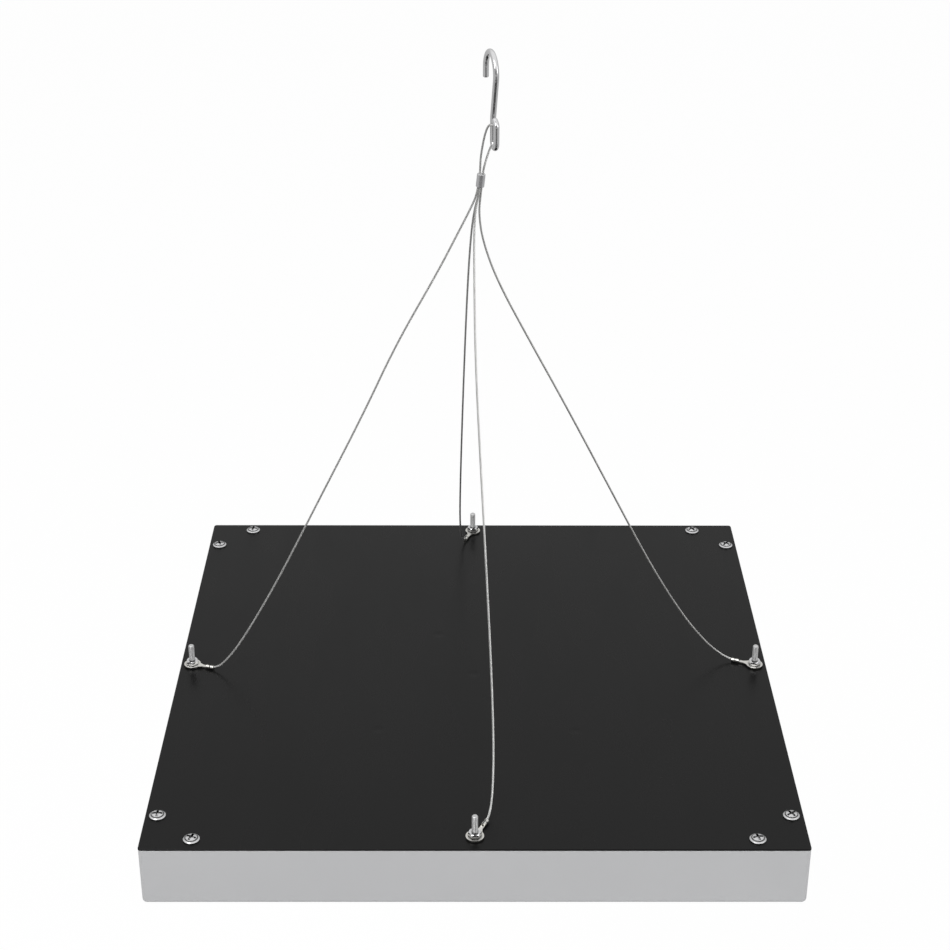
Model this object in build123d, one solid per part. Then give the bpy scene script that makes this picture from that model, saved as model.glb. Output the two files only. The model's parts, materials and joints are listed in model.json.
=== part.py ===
from build123d import *

import os
from math import cos, radians, sin, tan

# Hanging LED grow light: a square LED panel under four wire ropes and an S-hook.
# Millimetres, +Z up. The origin is the inside top of the hook's upper bend, where the light
# hangs. +X is to the right, the LEDs face down and the power inlet is in the +Y wall.

# ---------------------------------------------------------------- driving dimensions
# hanger
saddle_rise = 61.6  # the ferrule's lower end up to the hook's saddle
panel_shift = -6.9  # panel centre along X from the hook saddle
panel_shift_back = -2.5  # panel centre along Y from the hook saddle
hook_wire = 2.8
hook_bend_radius = 7.5  # inside the upper bend
hook_tip_length = 4.9
hook_shank_length = 17.9
hook_shank_lean = 13.4  # degrees
hook_blend_radius = 8.0  # between the leaning shank and the straight leg
hook_leg_length = 9.5
eye_bend_radius = 1.55  # inside the lower eye
eye_return_length = 7.4
eye_close_radius = 2.0
eye_close_angle = 70.0  # degrees
eye_close_length = 2.2
hook_turn = 75.5  # degrees from +X towards -Y, the plane that the hook is bent in

rope_diameter = 1.0
rope_clearance = 0.05  # radial, in the ferrule and in the lug barrels
rope_grip = 3.2  # how far each rope end runs into its lug barrel
ferrule_grip = 2.8  # how far each rope end runs into the ferrule
ferrule_width = 4.0
ferrule_depth = 3.7
ferrule_length = 6.4
ferrule_lean = 6.0  # degrees
ferrule_height = 265.2  # lower end above the back plate
ferrule_shift = 2.07  # lower end along X from the panel centre
rope_spread = 0.8  # each hanger bore from the ferrule's axis
loop_spread = 0.75  # each loop bore from the ferrule's axis
ferrule_lead = 3.5  # straight run of each hanger rope below the ferrule
loop_lead = 1.2  # straight run of the loop above the ferrule
loop_gap = 0.5  # the loop flexes here, clear of the tilting ferrule

# studs and lugs
stud_side_inset = 6.2  # left and right studs from the panel's edge
stud_end_inset = 8.6  # near and far studs from the panel's edge
stud_diameter = 3.0
stud_height = 12.6  # above the back plate
stud_head_diameter = 5.5
stud_head_height = 2.0
thread_clearance = 0.04  # radial, between a screw and what it is screwed into
washer_diameter = 7.0
washer_thickness = 0.5
nut_width = 5.5  # across flats
nut_height = 2.3
nut_corner_relief = 0.45  # turned off the corners at each end
lug_ring_diameter = 8.6
lug_thickness = 0.8
lug_hole_clearance = 0.1  # radial
lug_reach = 12.4  # stud axis to the end of the barrel
lug_neck_start = 6.0  # the ring tapers down to the neck here
lug_neck_width = 1.8
barrel_length = 4.0
barrel_diameter = 2.4
barrel_slot = 0.7  # between the barrel's wings, along the top
barrel_split = 0.5  # between its two pairs of wings
barrel_rise = 0.45  # the barrel's axis above the middle of the ring
lug_lead = 1.5  # straight run of each rope outside its barrel
left_lug_turn = -19.0  # degrees, each lug's direction away from the line to the centre
right_lug_turn = -20.0
near_lug_turn = -27.0
far_lug_turn = -22.0

# case
panel_side = 310.0
panel_height = 31.8
plate_thickness = 0.8
plate_corner_radius = 1.5
wall_thickness = 2.2
case_corner_radius = 2.0
top_edge_chamfer = 0.5  # round the walls, under the plate
front_edge_radius = 2.4
rim_thickness = 3.2
rim_width = 12.0
window_edge_radius = 1.0
screw_side_inset = 5.9  # screws along the left and right edges, from the edge
screw_side_corner = 25.0  # and from the case's corner
screw_end_inset = 7.2  # screws along the near and far edges, from the edge
screw_end_corner = 24.0  # and from the case's corner
screw_diameter = 3.0
screw_length = 12.0
screw_head_diameter = 7.8
screw_head_height = 1.9
screw_hole_clearance = 0.2  # radial, in the plate
boss_diameter = 7.0
boss_web = 3.0  # ties each boss to its wall
recess_width = 1.2  # arms of the cross recess
recess_span = 4.8
recess_depth = 1.2

# reflector and LED board
reflector_lap = 2.4  # over the window's edge on each side
reflector_sheet = 1.2
cup_count = 15
cup_margin = 10.0  # the outer cups' centres from the window's edge
cup_land = 2.6  # between neighbouring cups at the front
cup_back_radius = 3.5
cup_wall = 1.0
cup_depth = 6.3
led_board_thickness = 1.6
led_board_gap = 1.0  # to the case walls
led_length = 3.5
led_width = 2.8
led_height = 0.8
post_inset = 5.2  # board posts from the panel's edge
post_pitch = 60.0
post_diameter = 6.4
board_screw_length = 6.0
board_screw_head_diameter = 5.6
board_screw_head_height = 1.8
notch_clearance = 0.6  # radial, round the case bosses

# driver
spacer_columns = 3.5  # cup pitches from the middle to the spacers, along X
spacer_rows = 1.5  # and along Y, so that the nuts stand between the cups
spacer_end_inset = 8.5  # from the driver board's ends
spacer_side_inset = 7.5  # from the driver board's long sides
spacer_diameter = 6.0
spacer_height = 4.0
driver_thickness = 1.6
driver_screw_length = 10.2
film_margin = 8.0  # round the driver board
film_thickness = 0.3
fit_gap = 0.1  # between a component and what it lies against

core_length = 28.0
core_width = 24.0
core_height = 7.6
core_leg = 8.0
core_side = 3.4
winding_height = 10.4
winding_gap = 0.3
capacitor_diameter = 10.0
capacitor_length = 17.0
film_capacitor_length = 13.0
film_capacitor_width = 6.0
film_capacitor_height = 10.0
choke_outer = 15.0
choke_inner = 7.0
choke_height = 7.0
bridge_length = 14.0
bridge_width = 4.0
bridge_height = 9.0
fuse_diameter = 5.2
fuse_length = 20.0
fuse_cap_length = 5.0
clip_wall = 0.5
sink_length = 22.0
sink_width = 9.0
sink_height = 10.0
sink_wall = 1.6
transistor_width = 10.0
transistor_height = 8.6
transistor_thickness = 3.2
terminal_length = 10.0
terminal_width = 8.0
terminal_height = 9.0
terminal_pitch = 5.0

# places on the driver board, from its centre
input_capacitor_place = (-38.0, 8.5)
output_capacitor_place = (40.0, -15.5)
film_capacitor_place = (40.0, 20.0)
choke_place = (22.5, 17.2)
bridge_place = (-20.0, 24.0)
fuse_place = (26.0, 31.0)
heat_sink_place = (5.0, -26.0)
terminal_inset = 21.0  # both terminals from the driver board's +X end
lamp_terminal_step = 50.0  # LED board's terminal beyond the driver's output terminal

# power inlet
inlet_step = 6.0  # inlet beyond the mains terminal
inlet_z = -9.9  # axis below the back plate's top face
inlet_width = 19.6
inlet_height = 12.4
inlet_depth = 17.0
inlet_flange_width = 25.0
inlet_flange_height = 16.0
inlet_flange_thickness = 1.6
inlet_cavity_depth = 11.0
inlet_cavity_radius = 3.9
inlet_waist = 6.2
inlet_clearance = 0.15
pin_pitch = 8.6
pin_diameter = 2.3
pin_reach = 9.0  # from the cavity's floor
pin_tail = 5.0
mains_wire_diameter = 1.8
dc_wire_diameter = 1.5

# ---------------------------------------------------------------- levels and shared places
hanger_drop = ferrule_height + saddle_rise  # hook saddle down to the back plate's top face
half_side = panel_side / 2
stud_x = half_side - stud_side_inset
stud_y = half_side - stud_end_inset
screw_side_x = half_side - screw_side_inset
screw_side_y = half_side - screw_side_corner
screw_end_x = half_side - screw_end_corner
screw_end_y = half_side - screw_end_inset
window_side = panel_side - 2 * rim_width
post_offset = half_side - post_inset
cup_pitch = (window_side - 2 * cup_margin) / (cup_count - 1)
cup_front_radius = (cup_pitch - cup_land) / 2
spacer_x = spacer_columns * cup_pitch
spacer_y = spacer_rows * cup_pitch
driver_length = 2 * (spacer_x + spacer_end_inset)
driver_width = 2 * (spacer_y + spacer_side_inset)
terminal_x = driver_length / 2 - terminal_inset
lamp_terminal_x = terminal_x + lamp_terminal_step
inlet_x = terminal_x + inlet_step
case_floor = -panel_height + rim_thickness
board_underside = case_floor + cup_depth
board_top = board_underside + led_board_thickness
driver_underside = board_top + spacer_height
driver_top = driver_underside + driver_thickness
inner_half = panel_side / 2 - wall_thickness
terminal_y = driver_width / 2 - terminal_width / 2
rope_radius = rope_diameter / 2
bore_radius = rope_radius + rope_clearance
panel_frame = Location((panel_shift, panel_shift_back, -hanger_drop))
ferrule_frame = Location((ferrule_shift, 0, ferrule_height), (0, ferrule_lean, 0))
boss_places = [
    (side * screw_side_x, end * screw_side_y, 90 - 90 * side) for side in (-1, 1) for end in (-1, 1)
] + [(side * screw_end_x, end * screw_end_y, 90 * end) for side in (-1, 1) for end in (-1, 1)]
case_screw_places = [(x, y) for x, y, _ in boss_places]
post_places = [(side * post_offset, end * post_pitch) for side in (-1, 1) for end in (-1, 1)] + [
    (side * post_pitch, end * post_offset) for side in (-1, 1) for end in (-1, 1)
]
spacer_places = [(sx * spacer_x, sy * spacer_y) for sx in (-1, 1) for sy in (-1, 1)]
stud_places = {
    "left": (-stud_x, 0, 0 + left_lug_turn),
    "right": (stud_x, 0, 180 + right_lug_turn),
    "near": (0, -stud_y, 90 + near_lug_turn),
    "far": (0, stud_y, 270 + far_lug_turn),
}
lug_level = washer_thickness + lug_thickness / 2
barrel_level = lug_level + barrel_rise

# Hand-laid points of each rope between its straight run out of the lug and its straight run
# into the ferrule, from the panel centre at the back plate's top face. They were laid for studs
# and a ferrule at these distances, and spread with them.
laid_stud_x = 148.8
laid_stud_y = 146.4
laid_ferrule_height = 265.2
left_points = [(-130.2, -5.5, 6.6), (-124.2, -5.3, 14.4), (-115.3, -4.8, 28.8), (-99.8, -4.0, 57.0)]
left_points += [(-78.4, -2.9, 101.0), (-55.5, -1.9, 147.4), (-38.2, -1.2, 185.8)]
left_points += [(-18.4, -0.5, 221.8), (-8.4, -0.2, 242.0), (-2.6, 0.0, 253.8)]
right_points = [(128.6, 5.7, 6.0), (121.4, 5.4, 13.2), (109.6, 4.6, 28.8), (92.2, 3.6, 58.0)]
right_points += [(70.6, 2.5, 101.0), (46.4, 1.5, 149.2), (24.4, 0.7, 191.0)]
right_points += [(10.4, 0.3, 218.6), (3.4, 0.0, 238.8), (1.6, 0.0, 252.6)]
near_points = [(7.8, -129.1, 6.1), (8.6, -122.8, 14.2), (8.9, -112.2, 29.2), (7.9, -96.4, 56.6)]
near_points += [(5.6, -76.0, 98.0), (2.6, -52.4, 146.0), (0.1, -30.8, 189.6)]
near_points += [(-0.5, -12.6, 225.2), (-0.6, -5.4, 242.6), (0.0, -1.6, 254.4)]
far_points = [(-6.5, 128.6, 6.2), (-7.2, 121.8, 14.0), (-7.6, 111.0, 30.6), (-7.3, 95.4, 58.4)]
far_points += [(-6.5, 76.0, 99.0), (-5.4, 54.0, 144.2), (-4.2, 31.4, 188.2)]
far_points += [(-3.0, 15.0, 221.0), (-1.8, 6.0, 241.6), (-0.4, 2.0, 253.6)]

# Hand-laid points of the loop, from the panel centre at the level of the ferrule's lower end.
loop_points = [(2.2, 0.0, 10.6), (2.5, -0.2, 15.8), (4.2, -1.4, 26.0), (6.1, -3.4, 31.3)]
loop_points += [(8.7, -4.6, 30.8), (10.5, -2.5, 27.2), (10.2, -0.2, 24.2), (7.1, 1.7, 19.4)]
loop_points += [(5.2, 0.6, 14.1), (4.1, -0.1, 10.2)]


# ---------------------------------------------------------------- shared shapes
def round_bar(radius, low, high):
    return Pos(0, 0, low) * Cylinder(radius, high - low, align=(Align.CENTER, Align.CENTER, Align.MIN))


def block(x_size, y_size, low, high):
    return Pos(0, 0, low) * Box(x_size, y_size, high - low, align=(Align.CENTER, Align.CENTER, Align.MIN))


def tube(outer, inner, low, high):
    return round_bar(outer, low, high) - round_bar(inner, low - 1, high + 1)


def arc_radii(points):
    """The fillet at each inner point: 0.45 of the shorter run over the tangent of half the turn."""
    radii = []
    for before, point, after in zip(points, points[1:], points[2:]):
        run_in = Vector(point) - Vector(before)
        run_out = Vector(after) - Vector(point)
        half_turn = radians(run_in.get_angle(run_out)) / 2
        radii.append(0.45 * min(run_in.length, run_out.length) / tan(half_turn))
    return radii


def cord(name, points, diameter):
    radii = arc_radii(points)
    path = FilletPolyline(*points, radius=radii)
    section = Plane(path @ 0, z_dir=path % 0) * Circle(diameter / 2)
    solid = sweep(section, path=path)
    print(f"{name}: length {path.length:.1f}, smallest radius {min(radii):.1f}, largest {max(radii):.1f}")
    return solid


def pan_head(diameter, height):
    """A domed head standing on Z = 0."""
    side = height * 0.35
    profile = Polyline((0, 0), (diameter / 2, 0), (diameter / 2, side))
    dome = ThreePointArc((diameter / 2, side), (diameter * 0.3, height * 0.88), (0, height))
    face = make_face([profile, dome, Line((0, height), (0, 0))])
    return revolve(Plane.XZ * face, Axis.Z)


def cross_recess(span, width, depth, top):
    arms = block(span, width, top - depth, top + 1) + block(width, span, top - depth, top + 1)
    return arms + round_bar(width * 0.8, top - depth, top + 1)


def pan_screw(diameter, length, head_diameter, head_height):
    """A cross-head screw with the underside of its head at Z = 0."""
    head = pan_head(head_diameter, head_height)
    span = min(recess_span, head_diameter * 0.62)
    depth = min(recess_depth, head_height * 0.6)
    head -= cross_recess(span, recess_width, depth, head_height)
    shank = chamfer(round_bar(diameter / 2, -length, 0).edges().sort_by(Axis.Z)[0], diameter * 0.15)
    return head + shank


def hex_nut(width, height, hole_radius):
    """A nut standing on Z = 0, its corners turned down by a cone at each end."""
    corner = width / 2 / cos(radians(30))
    body = extrude(RegularPolygon(width / 2, 6, major_radius=False), height)
    relief = nut_corner_relief
    cone_face = make_face(
        Polyline(
            (0, 0), (width / 2, 0), (corner, relief), (corner, height - relief),
            (width / 2, height), (0, height), close=True,
        )
    )
    body = body & revolve(Plane.XZ * cone_face, Axis.Z)
    return body - round_bar(hole_radius, -1, height + 1)


# ---------------------------------------------------------------- hanger
def hanging_hook():
    """An S of round bar: an open upper bend, a leaning shank and a closed narrow eye."""
    upper = hook_bend_radius + hook_wire / 2
    lower = eye_bend_radius + hook_wire / 2
    tip_z = hook_wire / 2 - upper - hook_tip_length
    tip = Line((-upper, tip_z), (-upper, tip_z + hook_tip_length))
    over = JernArc(tip @ 1, tip % 1, upper, -(180 + hook_shank_lean))
    shank = Line(over @ 1, (over @ 1) + (over % 1) * hook_shank_length)
    blend = JernArc(shank @ 1, shank % 1, hook_blend_radius, hook_shank_lean)
    leg = Line(blend @ 1, (blend @ 1) + (blend % 1) * hook_leg_length)
    under = JernArc(leg @ 1, leg % 1, lower, 180)
    back = Line(under @ 1, (under @ 1) + (under % 1) * eye_return_length)
    close = JernArc(back @ 1, back % 1, eye_close_radius, eye_close_angle)
    end = Line(close @ 1, (close @ 1) + (close % 1) * eye_close_length)
    path = Wire([tip, over, shank, blend, leg, under, back, close, end])
    section = Plane(path @ 0, z_dir=path % 0) * Circle(hook_wire / 2)
    bar = sweep(section, path=path)
    ends = [e for e in bar.edges().filter_by(GeomType.CIRCLE) if e.is_closed]
    bar = chamfer([e for e in ends if abs(e.radius - hook_wire / 2) < 0.01], hook_wire * 0.1)
    return Rot(0, 0, -hook_turn) * Rot(90, 0, 0) * bar


def ferrule_point(across, deep, along):
    """A point of the ferrule's own frame, from the panel centre at the plate's top face."""
    return (ferrule_frame * Location((across, deep, along))).position


def crimp_ferrule():
    body = extrude(RectangleRounded(ferrule_width, ferrule_depth, ferrule_depth * 0.48), ferrule_length)
    body = chamfer(body.faces().filter_by(Axis.Z).edges(), 0.25)
    for across, deep in ((-1, 0), (1, 0), (0, -1), (0, 1)):
        bore = round_bar(bore_radius, -1, ferrule_grip + fit_gap)
        body -= Pos(across * rope_spread, deep * rope_spread, 0) * bore
    for across in (-1, 1):
        bore = round_bar(bore_radius, ferrule_length - ferrule_grip - fit_gap, ferrule_length + 1)
        body -= Pos(across * loop_spread, 0, 0) * bore
    return panel_frame * ferrule_frame * body


def wire_loop():
    """The rope's loop through the hook's eye, round the leg of the hook."""
    foot = ferrule_length + loop_gap
    route = [ferrule_point(-loop_spread, 0, foot), ferrule_point(-loop_spread, 0, foot + loop_lead)]
    route += [(x, y, z + ferrule_height) for x, y, z in loop_points]
    route += [ferrule_point(loop_spread, 0, foot + loop_lead), ferrule_point(loop_spread, 0, foot)]
    return panel_frame * cord("wire_loop", route, rope_diameter)


def lug_point(side, along, level):
    x, y, turn = stud_places[side]
    return (x + along * cos(radians(turn)), y + along * sin(radians(turn)), level)


def hanger_rope(side, points, across, deep):
    start = lug_point(side, lug_reach - rope_grip, barrel_level)
    lead = lug_point(side, lug_reach + lug_lead, barrel_level)
    below = ferrule_point(across * rope_spread, deep * rope_spread, -ferrule_lead)
    end = ferrule_point(across * rope_spread, deep * rope_spread, ferrule_grip)
    spread = stud_x / laid_stud_x if deep == 0 else stud_y / laid_stud_y
    rise = ferrule_height / laid_ferrule_height
    laid = [(x * spread, y * spread, z * rise) for x, y, z in points]
    return panel_frame * cord(f"hanger_wire_{side}", [start, lead, *laid, below, end], rope_diameter)


def hanging_stud():
    head = round_bar(stud_head_diameter / 2, -plate_thickness - stud_head_height, -plate_thickness)
    head = fillet(head.edges().sort_by(Axis.Z)[0], 0.6)
    shank = round_bar(stud_diameter / 2, -plate_thickness, stud_height)
    shank = chamfer(shank.edges().sort_by(Axis.Z)[-1], 0.4)
    return head + shank


def stud_washer():
    ring = tube(washer_diameter / 2, stud_diameter / 2 + 0.1, 0, washer_thickness)
    outer = ring.edges().filter_by(GeomType.CIRCLE).sort_by(SortBy.RADIUS)[-2:]
    return chamfer(outer, 0.12)


def cable_lug():
    """A ring with a narrow neck and an open barrel of four wings, along +X from the stud."""
    low = lug_level - lug_thickness / 2
    barrel_start = lug_reach - barrel_length
    ring = round_bar(lug_ring_diameter / 2, low, low + lug_thickness)
    shoulder = lug_ring_diameter * 0.43
    half_neck = lug_neck_width / 2
    tongue_end = barrel_start + 1.0
    outline = [(0, shoulder), (lug_neck_start, half_neck), (tongue_end, half_neck)]
    outline += [(x, -y) for x, y in reversed(outline)]
    tongue = Pos(0, 0, low) * extrude(make_face(Polyline(*outline, close=True)), lug_thickness)
    along = Pos(0, 0, barrel_level) * Rot(0, 90, 0)
    barrel = along * tube(barrel_diameter / 2, bore_radius, barrel_start, lug_reach)
    bore = along * round_bar(bore_radius, barrel_start, lug_reach + 1)
    middle = lug_reach - barrel_length / 2
    seam = Pos(middle, 0, 0) * block(barrel_length + 1, barrel_slot, barrel_level, barrel_level + 5)
    split = Pos(middle, 0, 0) * block(barrel_split, barrel_diameter + 1, barrel_level, barrel_level + 5)
    body = ring + tongue + barrel - bore - seam - split
    return body - round_bar(stud_diameter / 2 + lug_hole_clearance, low - 1, low + 10)


# ---------------------------------------------------------------- case
def back_plate():
    plate = block(panel_side, panel_side, -plate_thickness, 0)
    plate = fillet(plate.edges().filter_by(Axis.Z), plate_corner_radius)
    plate = chamfer(plate.faces().sort_by(Axis.Z)[-1].edges(), 0.25)
    for x, y in case_screw_places:
        plate -= Pos(x, y, 0) * round_bar(screw_diameter / 2 + screw_hole_clearance, -5, 5)
    for x, y, _ in stud_places.values():
        plate -= Pos(x, y, 0) * round_bar(stud_diameter / 2 + thread_clearance, -5, 5)
    return plate


def screw_boss(x, y, turn, grow, low, high):
    """A case boss with the web out to its wall, grown all round."""
    reach = max(screw_side_inset, screw_end_inset)
    web = Pos(reach / 2, 0, 0) * block(reach, boss_web + 2 * grow, low, high)
    return Location((x, y, 0), (0, 0, turn)) * (round_bar(boss_diameter / 2 + grow, low, high) + web)


def front_housing():
    """The tray: four walls, the front rim with its window, screw bosses and board posts."""
    tray = block(panel_side, panel_side, -panel_height, -plate_thickness)
    tray = fillet(tray.edges().filter_by(Axis.Z), case_corner_radius)
    tray = fillet(tray.faces().sort_by(Axis.Z)[0].edges(), front_edge_radius)
    tray = chamfer(tray.faces().sort_by(Axis.Z)[-1].edges(), top_edge_chamfer)
    tray -= block(2 * inner_half, 2 * inner_half, case_floor, 0)
    window = block(window_side, window_side, -panel_height - 1, case_floor + 1)
    tray -= window
    rim_edges = tray.faces().sort_by(Axis.Z)[0].inner_wires()[0].edges()
    tray = chamfer(rim_edges, window_edge_radius)
    reach = 2 * inner_half + wall_thickness
    outside = block(reach, reach, -panel_height + 1, -plate_thickness)
    for place in boss_places:
        tray += screw_boss(*place, 0, case_floor, -plate_thickness) & outside
    for x, y in post_places:
        post = Pos(x, y, 0) * round_bar(post_diameter / 2, case_floor, board_underside)
        tray += post & outside
    for x, y in case_screw_places:
        hole = round_bar(screw_diameter / 2 + thread_clearance, -plate_thickness - screw_length - 1, 0)
        tray -= Pos(x, y, 0) * hole
    for x, y in post_places:
        depth = board_screw_length - led_board_thickness
        hole = round_bar(screw_diameter / 2 + thread_clearance, board_underside - depth - 0.3, board_top)
        tray -= Pos(x, y, 0) * hole
    cutout = block(
        inlet_width + 2 * inlet_clearance, 4 * wall_thickness,
        inlet_z - inlet_height / 2 - inlet_clearance, inlet_z + inlet_height / 2 + inlet_clearance,
    )
    return tray - Pos(inlet_x, panel_side / 2, 0) * cutout


def case_screws():
    screw = pan_screw(screw_diameter, screw_length + plate_thickness, screw_head_diameter, screw_head_height)
    return [Pos(x, y, 0) * Rot(0, 0, 17 * n) * screw for n, (x, y) in enumerate(case_screw_places)]


# ---------------------------------------------------------------- reflector and LEDs
def cup_places():
    start = -(cup_count - 1) / 2 * cup_pitch
    return [
        (column, row, start + column * cup_pitch, start + row * cup_pitch)
        for column in range(cup_count)
        for row in range(cup_count)
    ]


def cup_cone(extra, low, high):
    slope = (cup_front_radius - cup_back_radius) / cup_depth
    front = cup_front_radius + extra + slope * (case_floor - low)
    back = cup_front_radius + extra - slope * (high - case_floor)
    return Pos(0, 0, low) * Cone(front, back, high - low, align=(Align.CENTER, Align.CENTER, Align.MIN))


def reflector_plate():
    side = window_side + 2 * reflector_lap
    sheet = block(side, side, case_floor, case_floor + reflector_sheet)
    for place in boss_places:
        sheet -= screw_boss(*place, notch_clearance, -panel_height, 0)
    outer = cup_cone(cup_wall, case_floor, board_underside)
    inner = cup_cone(0, case_floor - 0.5, board_underside + 0.5)
    sheet = sheet.fuse(*[Pos(x, y, 0) * outer for _, _, x, y in cup_places()])
    return sheet.cut(*[Pos(x, y, 0) * inner for _, _, x, y in cup_places()])


def led_colour(column, row):
    """Red LEDs, with blue ones on a coarse grid and a few orange and white ones."""
    if column % 4 == 1 and row % 4 == 1:
        return "blue"
    if column % 4 == 3 and row % 4 == 3:
        return "white" if (column + row) % 8 == 6 else "orange"
    if (column + row) % 6 == 0 and column % 2 == 0:
        return "blue"
    return "red"


def leds(colour):
    body = block(led_length, led_width, board_underside - led_height, board_underside)
    well = round_bar(1.05, board_underside - led_height - 1, board_underside - led_height + 0.25)
    body -= well
    return [Pos(x, y, 0) * body for c, r, x, y in cup_places() if led_colour(c, r) == colour]


def led_board():
    side = 2 * (inner_half - led_board_gap)
    board = block(side, side, board_underside, board_top)
    for place in boss_places:
        board -= screw_boss(*place, notch_clearance, -panel_height, 0)
    for x, y in post_places + spacer_places:
        hole = round_bar(screw_diameter / 2 + screw_hole_clearance, -panel_height, 0)
        board -= Pos(x, y, 0) * hole
    return board


def board_screws():
    screw = pan_screw(
        screw_diameter, board_screw_length, board_screw_head_diameter, board_screw_head_height
    )
    return [Pos(x, y, board_top) * Rot(0, 0, 23 * n) * screw for n, (x, y) in enumerate(post_places)]


# ---------------------------------------------------------------- driver
def driver_spacers():
    spacer = tube(spacer_diameter / 2, screw_diameter / 2 + 0.1, board_top, driver_underside)
    return [Pos(x, y, 0) * spacer for x, y in spacer_places]


def driver_board():
    board = block(driver_length, driver_width, driver_underside, driver_top)
    board = fillet(board.edges().filter_by(Axis.Z), 2)
    for x, y in spacer_places:
        board -= Pos(x, y, 0) * round_bar(screw_diameter / 2 + screw_hole_clearance, -panel_height, 0)
    return board


def driver_screws():
    screw = pan_screw(
        screw_diameter, driver_screw_length, board_screw_head_diameter, board_screw_head_height
    )
    return [Pos(x, y, driver_top) * Rot(0, 0, 31 * n) * screw for n, (x, y) in enumerate(spacer_places)]


def driver_nuts():
    nut = hex_nut(nut_width, nut_height, screw_diameter / 2 + thread_clearance)
    return [Pos(x, y, board_underside - nut_height) * nut for x, y in spacer_places]


def insulating_film():
    length = driver_length + 2 * film_margin
    width = driver_width + 2 * film_margin
    film = block(length, width, board_top, board_top + film_thickness)
    for x, y in spacer_places:
        film -= Pos(x, y, 0) * round_bar(spacer_diameter / 2 + 0.5, -panel_height, 0)
    return film


def transformer_core():
    """Two E halves lying flat, closed to an outline with two windows."""
    low = (winding_height - core_height) / 2
    body = block(core_length, core_width, low, low + core_height)
    window = core_length / 2 - core_side - core_leg / 2
    for side in (-1, 1):
        x = side * (core_leg + window) / 2
        body -= Pos(x, 0, 0) * block(window, core_width - 2 * core_side, low - 1, low + core_height + 1)
    return body


def transformer_winding():
    window = core_length / 2 - core_side - core_leg / 2
    x_size = core_leg + 2 * (window - winding_gap)
    y_size = core_width - 2 * core_side - 2 * winding_gap
    body = block(x_size, y_size, 0, winding_height)
    body = fillet(body.edges().filter_by(Axis.Y), 1.2)
    middle = winding_height / 2
    hole = block(
        core_leg + 2 * winding_gap, core_width,
        middle - core_height / 2 - winding_gap, middle + core_height / 2 + winding_gap,
    )
    return body - hole


def capacitors():
    can = round_bar(capacitor_diameter / 2, -capacitor_length / 2, capacitor_length / 2)
    can = fillet(can.edges().filter_by(GeomType.CIRCLE), 0.7)
    can = Rot(0, 90, 0) * can
    level = capacitor_diameter / 2 + fit_gap
    step = capacitor_diameter / 2 + 0.5
    return [
        Pos(x, y + side * step, level) * can
        for x, y in (input_capacitor_place, output_capacitor_place)
        for side in (-1, 1)
    ]


def film_capacitor():
    body = block(film_capacitor_length, film_capacitor_width, 0, film_capacitor_height)
    return fillet(body.edges(), 0.6)


def choke():
    ring = tube(choke_outer / 2, choke_inner / 2, 0, choke_height)
    return fillet(ring.edges().filter_by(GeomType.CIRCLE), 1.4)


def bridge_rectifier():
    body = block(bridge_length, bridge_width, 0, bridge_height)
    return chamfer(body.edges().filter_by(Axis.Y).sort_by(Axis.Z)[-1], 2)


def fuse_tube():
    glass = round_bar(fuse_diameter / 2 - 0.3, -fuse_length / 2 + fuse_cap_length, fuse_length / 2 - fuse_cap_length)
    return Pos(0, 0, fuse_diameter / 2 + clip_wall + fit_gap) * Rot(0, 90, 0) * glass


def fuse_caps():
    level = fuse_diameter / 2 + clip_wall + fit_gap
    caps = []
    for side in (-1, 1):
        middle = side * (fuse_length - fuse_cap_length) / 2
        cap = round_bar(fuse_diameter / 2, middle - fuse_cap_length / 2, middle + fuse_cap_length / 2)
        caps.append(Pos(0, 0, level) * Rot(0, 90, 0) * cap)
    return caps


def fuse_clips():
    level = fuse_diameter / 2 + clip_wall + fit_gap
    inner = fuse_diameter / 2 + 0.02
    clips = []
    for side in (-1, 1):
        x = side * (fuse_length - fuse_cap_length) / 2
        clip = block(fuse_cap_length - 1, fuse_diameter + 2 * clip_wall, 0, level + 0.8)
        groove = Pos(0, 0, level) * Rot(0, 90, 0) * round_bar(inner, -fuse_length, fuse_length)
        mouth = block(fuse_length, 2 * inner * 0.96, level, level + 5)
        clips.append(Pos(x, 0, 0) * (clip - groove - mouth))
    return clips


def heat_sink():
    """A folded aluminium channel, open at the top."""
    outer = block(sink_length, sink_width, 0, sink_height)
    return outer - block(sink_length + 1, sink_width - 2 * sink_wall, sink_wall, sink_height + 1)


def power_transistor():
    """Flat against the heat sink, from the sink's own centre."""
    body = block(transistor_width, transistor_thickness, 0, transistor_height)
    body = chamfer(body.edges().filter_by(Axis.X).sort_by(Axis.Z)[-1], 0.5)
    return Pos(0, (sink_width + transistor_thickness) / 2, 0) * body


def terminal(wire_diameter):
    """A two-way wire terminal whose wires enter along Y."""
    body = block(terminal_length, terminal_width, 0, terminal_height)
    body = chamfer(body.edges().filter_by(Axis.X).sort_by(Axis.Z)[-1], 1.5)
    for side in (-1, 1):
        x = side * terminal_pitch / 2
        slot = Pos(x, 0, terminal_height) * round_bar(1.5, -2, 1)
        mouth = Rot(-90, 0, 0) * round_bar(wire_diameter / 2 + fit_gap, terminal_width / 2 - 3, terminal_width)
        body -= slot + Pos(x, 0, terminal_height / 2) * mouth
    return body


# ---------------------------------------------------------------- power inlet and inner wires
def inlet_frame():
    """The inlet's own frame on the +Y wall: X along the wall, Y up, Z out of the case."""
    return Location(Plane(origin=(inlet_x, panel_side / 2, inlet_z), x_dir=(-1, 0, 0), z_dir=(0, 1, 0)))


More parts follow.
